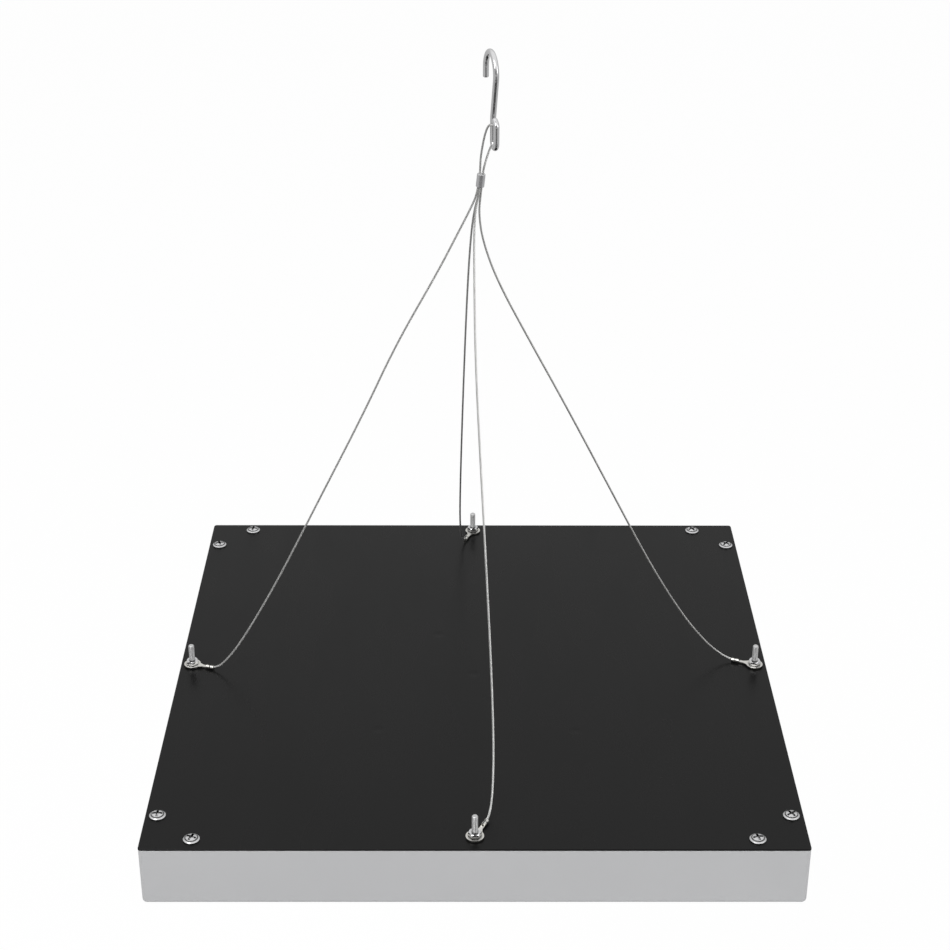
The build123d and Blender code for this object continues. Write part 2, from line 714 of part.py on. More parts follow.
def power_inlet():
    body = extrude(RectangleRounded(inlet_width, inlet_height, 2), -inlet_depth)
    flange = extrude(RectangleRounded(inlet_flange_width, inlet_flange_height, 2.5), inlet_flange_thickness)
    flange = chamfer(flange.faces().sort_by(Axis.Z)[-1].edges(), 0.5)
    body += flange
    floor = inlet_flange_thickness - inlet_cavity_depth
    mouth = Rectangle(pin_pitch, inlet_waist)
    for side in (-1, 1):
        mouth += Pos(side * pin_pitch / 2, 0) * Circle(inlet_cavity_radius)
    body -= Pos(0, 0, floor) * extrude(mouth, inlet_cavity_depth + 1)
    for side in (-1, 1):
        body -= Pos(side * pin_pitch / 2, 0, 0) * round_bar(pin_diameter / 2 + 0.02, -inlet_depth - 1, floor + 1)
    return body


def inlet_pins():
    floor = inlet_flange_thickness - inlet_cavity_depth
    pin = round_bar(pin_diameter / 2, -inlet_depth - pin_tail, floor + pin_reach)
    pin = fillet(pin.edges().sort_by(Axis.Z)[-1], pin_diameter * 0.4)
    return [Pos(side * pin_pitch / 2, 0, 0) * pin for side in (-1, 1)]


def mains_wires():
    wires = []
    mouth_y = terminal_y + terminal_width / 2 - 2.8
    level = driver_top + terminal_height / 2
    tail_y = panel_side / 2 - inlet_depth - pin_tail
    for side, bow in ((-1, 3.5), (1, 4.5)):
        out_x = inlet_x + side * pin_pitch / 2
        in_x = terminal_x + side * terminal_pitch / 2
        points = [
            (out_x, tail_y, inlet_z),
            (out_x, tail_y - 9, inlet_z),
            (out_x + side * bow, tail_y - 26, level - 1.5),
            (in_x + side * bow, tail_y - 50, level - 1.0),
            (in_x + side * 0.6, mouth_y + 18, level - 0.4),
            (in_x, mouth_y + 8, level),
            (in_x, mouth_y, level),
        ]
        wires.append(cord("mains_wire", points, mains_wire_diameter))
    return wires


def lamp_wires():
    """Two leads from the driver's output terminal down to the LED board's terminal."""
    wires = []
    mouth_y = -terminal_y - terminal_width / 2 + 2.8
    driver_level = driver_top + terminal_height / 2
    board_level = board_top + terminal_height / 2
    for side, reach in ((-1, 14.0), (1, 19.0)):
        out_x = terminal_x + side * terminal_pitch / 2
        in_x = lamp_terminal_x - side * terminal_pitch / 2
        points = [
            (out_x, mouth_y, driver_level),
            (out_x, mouth_y - 8, driver_level),
            (out_x + 4.5 + side, mouth_y - reach, driver_level - 1.5),
            (out_x + 18 + side, mouth_y - reach - 5 - side, board_level + 1.2),
            (in_x - 4 - side, mouth_y - reach + 0.5, board_level + 0.3),
            (in_x, mouth_y - 8, board_level),
            (in_x, mouth_y, board_level),
        ]
        wires.append(cord("lamp_wire", points, dc_wire_diameter))
    return wires


# ---------------------------------------------------------------- export
def save(name, *solids):
    shape = Compound(children=list(solids)) if len(solids) > 1 else solids[0]
    shape.label = name
    export_step(shape, f"parts/{name}.step")


def save_on_panel(name, *solids):
    save(name, *[panel_frame * solid for solid in solids])


def save_on_driver(name, spot, *solids, turn=0):
    place = Location((*spot, driver_top), (0, 0, turn))
    save_on_panel(name, *[place * solid for solid in solids])


os.makedirs("parts", exist_ok=True)

save("hanging_hook", hanging_hook())
save("wire_loop", wire_loop())
save("crimp_ferrule", crimp_ferrule())
save("hanger_wire_left", hanger_rope("left", left_points, -1, 0))
save("hanger_wire_right", hanger_rope("right", right_points, 1, 0))
save("hanger_wire_near", hanger_rope("near", near_points, 0, -1))
save("hanger_wire_far", hanger_rope("far", far_points, 0, 1))

places = [Location((x, y, 0)) for x, y, _ in stud_places.values()]
lug_places = [Location((x, y, 0), (0, 0, turn)) for x, y, turn in stud_places.values()]
nut_foot = lug_level + lug_thickness / 2
stud_nut = hex_nut(nut_width, nut_height, stud_diameter / 2 + thread_clearance)
save_on_panel("hanging_studs", *[place * hanging_stud() for place in places])
save_on_panel("stud_washers", *[place * stud_washer() for place in places])
save_on_panel("cable_lugs", *[place * cable_lug() for place in lug_places])
save_on_panel("stud_nuts", *[place * Pos(0, 0, nut_foot) * stud_nut for place in lug_places])

save_on_panel("back_plate", back_plate())
save_on_panel("front_housing", front_housing())
save_on_panel("case_screws", *case_screws())

save_on_panel("reflector_plate", reflector_plate())
save_on_panel("led_board", led_board())
save_on_panel("board_screws", *board_screws())
for colour in ("red", "blue", "white", "orange"):
    save_on_panel(f"leds_{colour}", *leds(colour))

save_on_panel("insulating_film", insulating_film())
save_on_panel("driver_spacers", *driver_spacers())
save_on_panel("driver_board", driver_board())
save_on_panel("driver_screws", *driver_screws())
save_on_panel("driver_nuts", *driver_nuts())
save_on_driver("transformer_core", (0, 0), transformer_core())
save_on_driver("transformer_winding", (0, 0), transformer_winding())
save_on_driver("electrolytic_capacitors", (0, 0), *capacitors())
save_on_driver("film_capacitor", film_capacitor_place, film_capacitor())
save_on_driver("line_choke", choke_place, choke())
save_on_driver("bridge_rectifier", bridge_place, bridge_rectifier())
save_on_driver("fuse_tube", fuse_place, fuse_tube())
save_on_driver("fuse_caps", fuse_place, *fuse_caps())
save_on_driver("fuse_clips", fuse_place, *fuse_clips())
save_on_driver("heat_sink", heat_sink_place, heat_sink())
save_on_driver("power_transistor", heat_sink_place, power_transistor())
save_on_driver("mains_terminal", (terminal_x, terminal_y), terminal(mains_wire_diameter))
save_on_driver("output_terminal", (terminal_x, -terminal_y), terminal(dc_wire_diameter), turn=180)
lamp_terminal = Location((lamp_terminal_x, -terminal_y, board_top), (0, 0, 180))
save_on_panel("lamp_terminal", lamp_terminal * terminal(dc_wire_diameter))

save_on_panel("power_inlet", inlet_frame() * power_inlet())
save_on_panel("inlet_pins", *[inlet_frame() * pin for pin in inlet_pins()])
save_on_panel("mains_wires", *mains_wires())
save_on_panel("lamp_wires", *lamp_wires())
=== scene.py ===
"""A hanging LED grow light: finishes, ropes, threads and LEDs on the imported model."""

import json
from math import cos, pi, radians, sin

import bmesh
import bpy
from mathutils import Matrix, Vector


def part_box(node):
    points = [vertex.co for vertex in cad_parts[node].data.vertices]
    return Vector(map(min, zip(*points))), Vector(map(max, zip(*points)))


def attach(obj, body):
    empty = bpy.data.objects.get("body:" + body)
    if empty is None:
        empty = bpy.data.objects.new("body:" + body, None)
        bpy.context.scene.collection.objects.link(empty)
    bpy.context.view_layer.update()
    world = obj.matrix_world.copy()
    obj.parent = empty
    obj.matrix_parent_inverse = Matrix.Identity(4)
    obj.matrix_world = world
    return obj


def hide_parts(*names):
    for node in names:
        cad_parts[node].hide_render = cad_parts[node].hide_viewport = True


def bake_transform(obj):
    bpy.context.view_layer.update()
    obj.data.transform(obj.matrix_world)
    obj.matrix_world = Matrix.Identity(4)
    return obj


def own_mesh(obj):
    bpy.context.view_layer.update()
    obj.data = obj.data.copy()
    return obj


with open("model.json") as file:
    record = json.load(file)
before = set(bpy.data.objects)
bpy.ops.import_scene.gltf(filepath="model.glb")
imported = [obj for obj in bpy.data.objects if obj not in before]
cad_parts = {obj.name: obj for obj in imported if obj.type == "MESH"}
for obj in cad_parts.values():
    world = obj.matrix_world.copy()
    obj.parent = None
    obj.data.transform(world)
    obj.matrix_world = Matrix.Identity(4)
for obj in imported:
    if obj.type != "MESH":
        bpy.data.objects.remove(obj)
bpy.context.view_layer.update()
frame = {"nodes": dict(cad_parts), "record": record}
nodes = frame["nodes"]
MM = 0.001

# ---------------------------------------------------------------- places, from the frame
plate_low, plate_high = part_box("back_plate")
plate_middle = (plate_low + plate_high) / 2
plate_top = Vector((plate_middle.x, plate_middle.y, plate_high.z))
case_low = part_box("front_housing")[0]


def on_plate(x, y, z):
    """A point in millimetres from the centre of the back plate's top face, in the row frame."""
    return plate_top + Vector((x, y, z)) * MM


# ---------------------------------------------------------------- camera
CAMERA_PLACE = on_plate(-5.1, -870.7, 561.6)
CAMERA_TURN = radians(0.356)
CAMERA_TILT = radians(27.226)
CAMERA_ROLL = radians(0.225)
CAMERA_LENS = 73.73
CAMERA_SENSOR = 36
CAMERA_NEAR, CAMERA_FAR = 0.01, 50

flat = cos(CAMERA_TILT)
ahead = Vector((sin(CAMERA_TURN) * flat, cos(CAMERA_TURN) * flat, -sin(CAMERA_TILT)))
level = Vector((cos(CAMERA_TURN), -sin(CAMERA_TURN), 0))
upright = level.cross(ahead)
right = cos(CAMERA_ROLL) * level + sin(CAMERA_ROLL) * upright
up = -sin(CAMERA_ROLL) * level + cos(CAMERA_ROLL) * upright
camera = bpy.data.objects.new("camera", bpy.data.cameras.new("camera"))
bpy.context.scene.collection.objects.link(camera)
camera.data.lens = CAMERA_LENS
camera.data.sensor_width = CAMERA_SENSOR
camera.data.clip_start, camera.data.clip_end = CAMERA_NEAR, CAMERA_FAR
camera.matrix_world = Matrix((right, up, -ahead)).transposed().to_4x4()
camera.location = CAMERA_PLACE
bpy.context.scene.camera = camera


# ---------------------------------------------------------------- shader nodes
class Network:
    """Shader nodes in one node tree."""

    def __init__(self, tree):
        self.tree = tree

    def add(self, kind, **settings):
        node = self.tree.nodes.new(kind)
        for name, value in settings.items():
            setattr(node, name, value)
        return node

    def feed(self, socket, value):
        """Links an output to the socket, or sets the socket's own value."""
        if isinstance(value, bpy.types.NodeSocket):
            self.tree.links.new(value, socket)
        else:
            socket.default_value = value

    def math(self, operation, *values):
        node = self.add("ShaderNodeMath", operation=operation)
        for socket, value in zip(node.inputs, values):
            self.feed(socket, value)
        return node.outputs[0]

    def vector_math(self, operation, *values):
        node = self.add("ShaderNodeVectorMath", operation=operation)
        for socket, value in zip(node.inputs, values):
            self.feed(socket, value)
        gives_number = operation in ("DISTANCE", "DOT_PRODUCT", "LENGTH")
        return node.outputs["Value" if gives_number else "Vector"]

    def fade(self, value, span, low=0.0, high=1.0, smooth=True):
        """Goes from low to high while the value crosses the span."""
        ease = "SMOOTHSTEP" if smooth else "LINEAR"
        node = self.add("ShaderNodeMapRange", interpolation_type=ease)
        node.inputs["From Min"].default_value, node.inputs["From Max"].default_value = span
        node.inputs["To Min"].default_value = low
        node.inputs["To Max"].default_value = high
        self.feed(node.inputs["Value"], value)
        return node.outputs["Result"]

    def either(self, share, a, b):
        """Shader a where the share is 0, shader b where it is 1."""
        node = self.add("ShaderNodeMixShader")
        for socket, value in zip(node.inputs, (share, a, b)):
            self.feed(socket, value)
        return node.outputs["Shader"]


class Finish(Network):
    """A procedural material under construction."""

    SOCKETS = {
        "colour": "Base Color",
        "ior": "IOR",
        "metal": "Metallic",
        "normal": "Normal",
        "rough": "Roughness",
        "see_through": "Transmission Weight",
        "spec": "Specular IOR Level",
    }
    NOISE_MIDDLE = (0.3, 0.7)  # where most of a noise's values lie
    EDGE_SAMPLES = 4
    EDGE_SPAN = (0.99, 0.80)  # the bevelled normal against the true one
    PIT_REACH = 1.6 * MM
    PIT_SAMPLES = 6
    PIT_SPAN = (0.35, 0.90)

    def __init__(self, name):
        self.material = bpy.data.materials.new(name)
        self.material.use_nodes = True
        super().__init__(self.material.node_tree)
        self.shader = self.tree.nodes["Principled BSDF"]
        self.place = self.add("ShaderNodeTexCoord").outputs["Object"]

    def noise(self, scale, detail=3.0, rough=0.6, stretch=None):
        node = self.add("ShaderNodeTexNoise")
        node.inputs["Scale"].default_value = scale
        node.inputs["Detail"].default_value = detail
        node.inputs["Roughness"].default_value = rough
        place = self.place
        if stretch is not None:
            mapping = self.add("ShaderNodeMapping")
            mapping.inputs["Scale"].default_value = stretch
            self.feed(mapping.inputs["Vector"], place)
            place = mapping.outputs["Vector"]
        self.feed(node.inputs["Vector"], place)
        return node.outputs["Fac"]

    def ramp(self, noise, low, high):
        return self.fade(noise, self.NOISE_MIDDLE, low, high, smooth=False)

    def mix(self, value, low, high):
        """A colour between two colours, or colour outputs, by a value."""
        node = self.add("ShaderNodeMix", data_type="RGBA")
        self.feed(node.inputs["Factor"], value)
        for socket, colour in ((node.inputs[6], low), (node.inputs[7], high)):
            self.feed(socket, (*colour, 1) if isinstance(colour, tuple) else colour)
        return node.outputs[2]

    def bump(self, height, distance, strength=1.0, onto=None):
        node = self.add("ShaderNodeBump")
        node.inputs["Distance"].default_value = distance
        node.inputs["Strength"].default_value = strength
        self.feed(node.inputs["Height"], height)
        if onto is not None:
            self.feed(node.inputs["Normal"], onto)
        return node.outputs["Normal"]

    def dimples(self, places, radius):
        """Shallow round dents, -1 at their middles."""
        total = None
        for place in places:
            away = self.vector_math("DISTANCE", self.place, place)
            dent = self.fade(away, (0.0, radius), -1.0, 0.0)
            total = dent if total is None else self.math("ADD", total, dent)
        return total

    def open_share(self):
        """0 down in a recess or where two pieces meet, 1 out in the open."""
        pits = self.add("ShaderNodeAmbientOcclusion", samples=self.PIT_SAMPLES)
        pits.inputs["Distance"].default_value = self.PIT_REACH
        return self.fade(pits.outputs["AO"], self.PIT_SPAN, smooth=False)

    def edge_highlight_mask(self, radius):
        """1 where two faces meet, from a bevelled normal against the true one."""
        bevel = self.add("ShaderNodeBevel", samples=self.EDGE_SAMPLES)
        bevel.inputs["Radius"].default_value = radius
        geometry = self.add("ShaderNodeNewGeometry")
        same = self.vector_math("DOT_PRODUCT", bevel.outputs["Normal"], geometry.outputs["Normal"])
        return self.fade(same, self.EDGE_SPAN, smooth=False)

    def set(self, **values):
        for key, value in values.items():
            self.feed(self.shader.inputs[self.SOCKETS[key]], value)


# ---------------------------------------------------------------- materials
# Dark grey for dust on the plate, and for painted shade in recesses and where pieces meet.
GRIME_AND_PAINTED_SHADE = (0.05, 0.05, 0.05)
SCREW_PLACES = ((149.1, 130.0), (131.0, 147.8))  # from the plate's centre, in millimetres
SCREW_RING = 3.0 * MM
SCREW_RING_DEPTH = 0.25 * MM
SCREW_RING_EDGE = (0.08 * MM, 0.34 * MM)
DIMPLES = [on_plate(x, y, 0) for x, y in ((0, -8), (-48, -59), (51, -60), (-19, 31))]
DIMPLE_RADIUS = 4.0 * MM
DIMPLE_DEPTH = 0.12 * MM
PLATE_BOW = 1.2 * MM
PAINT_PEEL = 0.03 * MM
CASE_EDGE = 0.5 * MM
CASE_GRAIN = 0.015 * MM
REFLECTOR_RIPPLE = 0.08 * MM
TRACK_HEIGHT = 0.04 * MM
GLASS_IOR = 1.48


def shade(colour, factor):
    return tuple(min(1.0, c * factor) for c in colour)


def metal(name, colour, rough, grain, stretch=None, scratch=0.02 * MM, painted_shade=False):
    """Bare or plated metal: cloudy plating, roughness in patches, fine scratches, and, if asked,
    painted shade in recesses.
    """
    f = Finish(name)
    fine = f.noise(grain, 5, 0.65, stretch)
    plating = f.mix(f.noise(90, 4), shade(colour, 0.86), shade(colour, 1.08))
    if painted_shade:
        # Painted shade: the colour darkens down in recesses and where the piece meets another.
        plating = f.mix(f.open_share(), GRIME_AND_PAINTED_SHADE, plating)
    f.set(metal=1.0, colour=plating, rough=f.ramp(fine, *rough), normal=f.bump(fine, scratch))
    return f.material


def metal_with_painted_shade(name, colour, rough, grain):
    """Metal with painted shade down in its corners and where it meets another piece."""
    return metal(name, colour, rough, grain, painted_shade=True)


def plastic(name, colour, rough, spec=0.5, grain=2600, depth=0.02 * MM):
    """Moulded plastic: a fine spark-eroded grain and slight mottling."""
    f = Finish(name)
    fine = f.noise(grain)
    f.set(colour=f.mix(f.noise(35, 4), shade(colour, 0.94), shade(colour, 1.06)))
    f.set(rough=f.ramp(fine, rough - 0.05, rough + 0.06), spec=spec)
    f.set(normal=f.bump(fine, depth))
    return f.material


def plate_paint(name):
    """Semi-gloss black powder coat on sheet steel that isn't quite flat."""
    f = Finish(name)
    wide = f.noise(9, 2, 0.4)
    streak = f.noise(60, 3, 0.5, (1.0, 0.25, 1.0))
    orange_peel = f.noise(1500, 2, 0.5)
    dust = f.fade(f.noise(420, 6, 0.8), (0.72, 0.80), 0.0, 0.5, smooth=False)
    black = f.mix(wide, (0.0066, 0.0066, 0.0066), (0.0088, 0.0088, 0.0088))
    f.set(colour=f.mix(dust, black, GRIME_AND_PAINTED_SHADE), spec=0.11, rough=f.ramp(streak, 0.24, 0.34))
    bowed = f.bump(wide, PLATE_BOW, 0.35)
    dented = f.bump(f.dimples(DIMPLES, DIMPLE_RADIUS), DIMPLE_DEPTH, onto=bowed)
    f.set(normal=f.bump(orange_peel, PAINT_PEEL, onto=dented))
    return f.material


def case_plastic(name):
    """Light grey moulded plastic with a fine satin grain, and a painted highlight along its edges.
    """
    f = Finish(name)
    flow = f.noise(30, 3, 0.6, (0.2, 0.2, 2.0))
    grey = f.mix(f.noise(14, 3, 0.5), (0.500, 0.503, 0.513), (0.537, 0.540, 0.549))
    # Painted highlight: the case is paler along its edges.
    f.set(colour=f.mix(f.edge_highlight_mask(CASE_EDGE), grey, (0.60, 0.60, 0.61)), spec=0.4)
    f.set(rough=f.ramp(flow, 0.36, 0.46), normal=f.bump(f.noise(2400), CASE_GRAIN))
    return f.material


def mirror_plastic(name):
    """Vacuum-metallised plastic of the reflector."""
    f = Finish(name)
    haze = f.noise(50)
    f.set(metal=1.0, colour=f.mix(haze, (0.78, 0.78, 0.80), (0.88, 0.88, 0.90)))
    f.set(rough=f.ramp(haze, 0.10, 0.20))
    f.set(normal=f.bump(f.noise(240, 2, 0.5), REFLECTOR_RIPPLE, 0.4))
    return f.material


def clear(name, colour, rough):
    """Glass or clear film with a little haze."""
    f = Finish(name)
    haze = f.noise(300)
    f.set(colour=f.mix(haze, shade(colour, 0.94), colour), see_through=1.0, ior=GLASS_IOR)
    f.set(rough=f.ramp(haze, rough, rough + 0.06))
    return f.material


def lens(name, deep, pale):
    """Moulded silicone over a small square die, deeper in colour at the middle."""
    f = Finish(name)
    cloud = f.noise(900)
    facing = f.add("ShaderNodeLayerWeight").outputs["Facing"]
    f.set(colour=f.mix(facing, deep, f.mix(cloud, shade(pale, 0.9), pale)))
    f.set(rough=f.ramp(cloud, 0.08, 0.14), spec=0.6)
    return f.material


def circuit_board(name, colour, trace):
    """Solder mask over copper tracks."""
    f = Finish(name)
    bricks = f.add("ShaderNodeTexBrick", offset=0.37, squash=1.7)
    bricks.inputs["Scale"].default_value = 160
    bricks.inputs["Mortar Size"].default_value = 0.035
    f.feed(bricks.inputs["Vector"], f.place)
    tracks = bricks.outputs["Fac"]
    cloud = f.noise(60)
    mask = f.mix(cloud, shade(colour, 0.9), shade(colour, 1.1))
    f.set(colour=f.mix(tracks, mask, trace), rough=f.ramp(cloud, 0.28, 0.4))
    f.set(spec=0.5, normal=f.bump(tracks, TRACK_HEIGHT))
    return f.material


def screw_zinc(name):
    """Zinc plate with a pressed ring round the head's middle, its groove painted dark as shade, and
    painted shade down in the recess.
    """
    f = Finish(name)
    centred = f.vector_math("SUBTRACT", f.place, plate_top)
    folded = f.vector_math("MULTIPLY", f.vector_math("ABSOLUTE", centred), (1, 1, 0))
    away = [f.vector_math("DISTANCE", folded, (x * MM, y * MM, 0)) for x, y in SCREW_PLACES]
    off_ring = f.math("SUBTRACT", f.math("MINIMUM", *away), SCREW_RING)
    ring = f.fade(f.math("ABSOLUTE", off_ring), SCREW_RING_EDGE, 1.0, 0.0)
    plating = f.mix(f.noise(300, 4), (0.56, 0.56, 0.56), (0.72, 0.72, 0.73))
    # Painted shade: the pressed ring's groove is painted near black.
    plating = f.mix(ring, plating, (0.10, 0.10, 0.10))
    # Painted shade, darker down in the cross recess and where the head meets other pieces.
    f.set(metal=1.0, colour=f.mix(f.open_share(), GRIME_AND_PAINTED_SHADE, plating))
    f.set(rough=f.ramp(f.noise(1400, 5, 0.65), 0.18, 0.32))
    f.set(normal=f.bump(ring, -SCREW_RING_DEPTH))
    return f.material


def rope_steel(name):
    """Thin bright steel wires with a little grime."""
    f = Finish(name)
    f.set(metal=1.0, colour=f.mix(f.noise(260, 4), (0.62, 0.62, 0.61), (0.78, 0.78, 0.77)))
    f.set(rough=f.ramp(f.noise(3000), 0.40, 0.54))
    return f.material


LOOKS = {
    "hook_steel": (metal, (0.72, 0.72, 0.725), (0.13, 0.24), 900, (1, 1, 0.3), 0.01 * MM),
    "zinc_steel": (metal_with_painted_shade, (0.76, 0.76, 0.77), (0.14, 0.26), 1400),
    "wire_rope": (rope_steel,),
    "ferrule_alloy": (metal, (0.66, 0.66, 0.67), (0.30, 0.46), 1800),
    "stud_zinc": (metal_with_painted_shade, (0.62, 0.62, 0.62), (0.34, 0.46), 1400),
    "screw_zinc": (screw_zinc,),
    "tinned_lug": (metal_with_painted_shade, (0.74, 0.73, 0.69), (0.16, 0.28), 1500),
    "plate_paint": (plate_paint,),
    "case_plastic": (case_plastic,),
    "reflector_silver": (mirror_plastic,),
    "board_white": (plastic, (0.78, 0.78, 0.75), 0.35),
    "led_red": (plastic, (0.80, 0.72, 0.68), 0.25),
    "led_blue": (plastic, (0.74, 0.78, 0.84), 0.25),
    "led_white": (plastic, (0.84, 0.82, 0.72), 0.25),
    "led_orange": (plastic, (0.84, 0.74, 0.62), 0.25),
    "lens_red": (lens, (0.62, 0.05, 0.03), (0.80, 0.30, 0.22)),
    "lens_blue": (lens, (0.03, 0.08, 0.55), (0.30, 0.42, 0.78)),
    "lens_white": (lens, (0.86, 0.72, 0.16), (0.90, 0.84, 0.46)),
    "lens_orange": (lens, (0.85, 0.26, 0.03), (0.88, 0.52, 0.22)),
    "film": (clear, (0.90, 0.84, 0.60), 0.10),
    "brass_spacer": (metal, (0.78, 0.60, 0.30), (0.20, 0.36), 1500, (1, 1, 8)),
    "circuit_board": (circuit_board, (0.03, 0.12, 0.035), (0.05, 0.20, 0.06)),
    "ferrite": (plastic, (0.035, 0.035, 0.038), 0.6, 0.4, 900, 0.06 * MM),
    "winding_tape": (plastic, (0.72, 0.52, 0.05), 0.3, 0.5, 500, 0.03 * MM),
    "capacitor_sleeve": (plastic, (0.02, 0.022, 0.04), 0.28, 0.5, 300),
    "film_capacitor_case": (plastic, (0.62, 0.42, 0.04), 0.34),
    "copper_wire": (metal, (0.72, 0.32, 0.14), (0.22, 0.38), 1200, (8, 8, 1)),
    "black_epoxy": (plastic, (0.016, 0.016, 0.017), 0.5, 0.4, 1200),
    "fuse_glass": (clear, (0.94, 0.96, 0.96), 0.02),
    "nickel_cap": (metal, (0.72, 0.70, 0.66), (0.16, 0.28), 1500),
    "bare_aluminium": (metal, (0.80, 0.80, 0.81), (0.28, 0.42), 900, (1, 12, 1)),
    "terminal_plastic": (plastic, (0.02, 0.22, 0.06), 0.4),
    "inlet_plastic": (plastic, (0.015, 0.015, 0.016), 0.42, 0.45, 1800),
    "mains_insulation": (plastic, (0.02, 0.02, 0.022), 0.45, 0.4),
    "lamp_insulation": (plastic, (0.35, 0.015, 0.012), 0.4, 0.45),
}
FINISHES = {name: make(name, *look) for name, (make, *look) in LOOKS.items()}

finish_of = {part["node"]: part["material_slot"] for part in frame["record"]["subparts"]}
finish_of["case_screws"] = "screw_zinc"
for name, node in nodes.items():
    for place in node.material_slots:
        place.material = FINISHES[finish_of[name]]


# ---------------------------------------------------------------- shared mesh code
def piece(name, mesh, finish, body):
    """A smooth object that rides on the body, or on none yet; its slot is its finish's name."""
    obj = bpy.data.objects.new(name, mesh)
    bpy.context.scene.collection.objects.link(obj)
    mesh.materials.append(FINISHES[finish])
    for polygon in mesh.polygons:
        polygon.use_smooth = True
    if body is not None:
        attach(obj, body)
    return obj


def to_mesh(name, bm):
    bmesh.ops.recalc_face_normals(bm, faces=bm.faces)
    mesh = bpy.data.meshes.new(name)
    bm.to_mesh(mesh)
    bm.free()
    return mesh


def turns(count):
    return [2 * pi * k / count for k in range(count)]


def ring_at(centre, side, other, radius, count):
    return [centre + (side * cos(t) + other * sin(t)) * radius for t in turns(count)]


def level_ring(x, y, radius, z, count):
    """A ring of points in millimetres over the plate's centre."""
    return [on_plate(x + radius * cos(t), y + radius * sin(t), z) for t in turns(count)]


def loft(bm, rings):
    """Joins rings of points into a tube, with a flat face at each end."""
    rows = [[bm.verts.new(p) for p in ring] for ring in rings]
    for a, b in zip(rows, rows[1:]):
        for i in range(len(a)):
            j = (i + 1) % len(a)
            bm.faces.new((a[i], a[j], b[j], b[i]))
    bm.faces.new(reversed(rows[0]))
    bm.faces.new(rows[-1])


def nurbs_line(name, points):
    """Points along the NURBS spline that has these control points."""
    curve = bpy.data.curves.new(name, "CURVE")
    curve.dimensions = "3D"
    spline = curve.splines.new("NURBS")
    spline.points.add(len(points) - 1)
    for control, point in zip(spline.points, points):
        control.co = (*point, 1)
    spline.order_u = 3
    spline.use_endpoint_u = True
    spline.resolution_u = 24
    obj = bpy.data.objects.new(name, curve)
    line = bpy.data.meshes.new_from_object(obj)
    found = [v.co.copy() for v in line.vertices]
    bpy.data.objects.remove(obj)
    bpy.data.meshes.remove(line)
    bpy.data.curves.remove(curve)
    return found


def even_steps(line, step):
    """The line's points again, one step apart, with its last point kept."""
    out = [line[0]]
    left = step
    for a, b in zip(line, line[1:]):
        run = (b - a).length
        along = left
        while along < run:
            out.append(a.lerp(b, along / run))
            along += step
        left = along - run
    out.append(line[-1])
    return out


def carried_frames(line):
    """A side and a second side at each point, carried along without twisting."""
    side = (line[1] - line[0]).orthogonal().normalized()
    frames = []
    for i in range(len(line)):
        ahead_here = (line[min(i + 1, len(line) - 1)] - line[max(i - 1, 0)]).normalized()
        side = (side - ahead_here * side.dot(ahead_here)).normalized()
        frames.append((side, ahead_here.cross(side)))
    return frames


# ---------------------------------------------------------------- ropes
ROPE = 1.0 * MM
ROPE_LAY = 8.0 * MM
ROPE_WIRES = 12
ROPE_WIRE = ROPE / 2 * sin(pi / ROPE_WIRES) / (1 + sin(pi / ROPE_WIRES))  # an outer wire's radius
STEPS_PER_LAY = 14
CORE_SIDES, WIRE_SIDES = 10, 5
FERRULE_LOW = on_plate(2.07, 0, 265.2)
FERRULE_LEAN = radians(6.0)
FERRULE_LENGTH = 6.4
FERRULE_GRIP = 2.8
FERRULE_LEAD = 3.5
ROPE_SPREAD = 0.8
LUG_REACH, LUG_LEAD, LUG_GRIP, BARREL_LEVEL = 12.4, 1.5, 3.2, 1.35
STUD_X, STUD_Y = 148.8, 146.4
LUG_TURNS = {"left": -19.0, "right": 160.0, "near": 63.0, "far": 248.0}
STUDS = {"left": (-STUD_X, 0), "right": (STUD_X, 0), "near": (0, -STUD_Y), "far": (0, STUD_Y)}
BORES = {
    "left": (-ROPE_SPREAD, 0),
    "right": (ROPE_SPREAD, 0),
    "near": (0, -ROPE_SPREAD),
    "far": (0, ROPE_SPREAD),
}
ROUTES = {
    "left": [(-130.2, -5.5, 6.6), (-124.2, -5.3, 14.4), (-115.3, -4.8, 28.8), (-99.8, -4.0, 57.0),
             (-78.4, -2.9, 101.0), (-55.5, -1.9, 147.4), (-38.2, -1.2, 185.8), (-18.4, -0.5, 221.8),
             (-8.4, -0.2, 242.0), (-2.6, 0.0, 253.8)],
    "right": [(128.6, 5.7, 6.0), (121.4, 5.4, 13.2), (109.6, 4.6, 28.8), (92.2, 3.6, 58.0),
              (70.6, 2.5, 101.0), (46.4, 1.5, 149.2), (24.4, 0.7, 191.0), (10.4, 0.3, 218.6),
              (3.4, 0.0, 238.8), (1.6, 0.0, 252.6)],
    "near": [(7.8, -129.1, 6.1), (8.6, -122.8, 14.2), (8.9, -112.2, 29.2), (7.9, -96.4, 56.6),
             (5.6, -76.0, 98.0), (2.6, -52.4, 146.0), (0.1, -30.8, 189.6), (-0.5, -12.6, 225.2),
             (-0.6, -5.4, 242.6), (0.0, -1.6, 254.4)],
    "far": [(-6.5, 128.6, 6.2), (-7.2, 121.8, 14.0), (-7.6, 111.0, 30.6), (-7.3, 95.4, 58.4),
            (-6.5, 76.0, 99.0), (-5.4, 54.0, 144.2), (-4.2, 31.4, 188.2), (-3.0, 15.0, 221.0),
            (-1.8, 6.0, 241.6), (-0.4, 2.0, 253.6)],
}
LOOP_ROUTE = [(2.2, 0.0, 275.8), (2.5, -0.2, 281.0), (4.2, -1.4, 291.2), (6.1, -3.4, 296.5),
              (8.7, -4.6, 296.0), (10.5, -2.5, 292.4), (10.2, -0.2, 289.4), (7.1, 1.7, 284.6),
              (5.2, 0.6, 279.3), (4.1, -0.1, 275.4)]
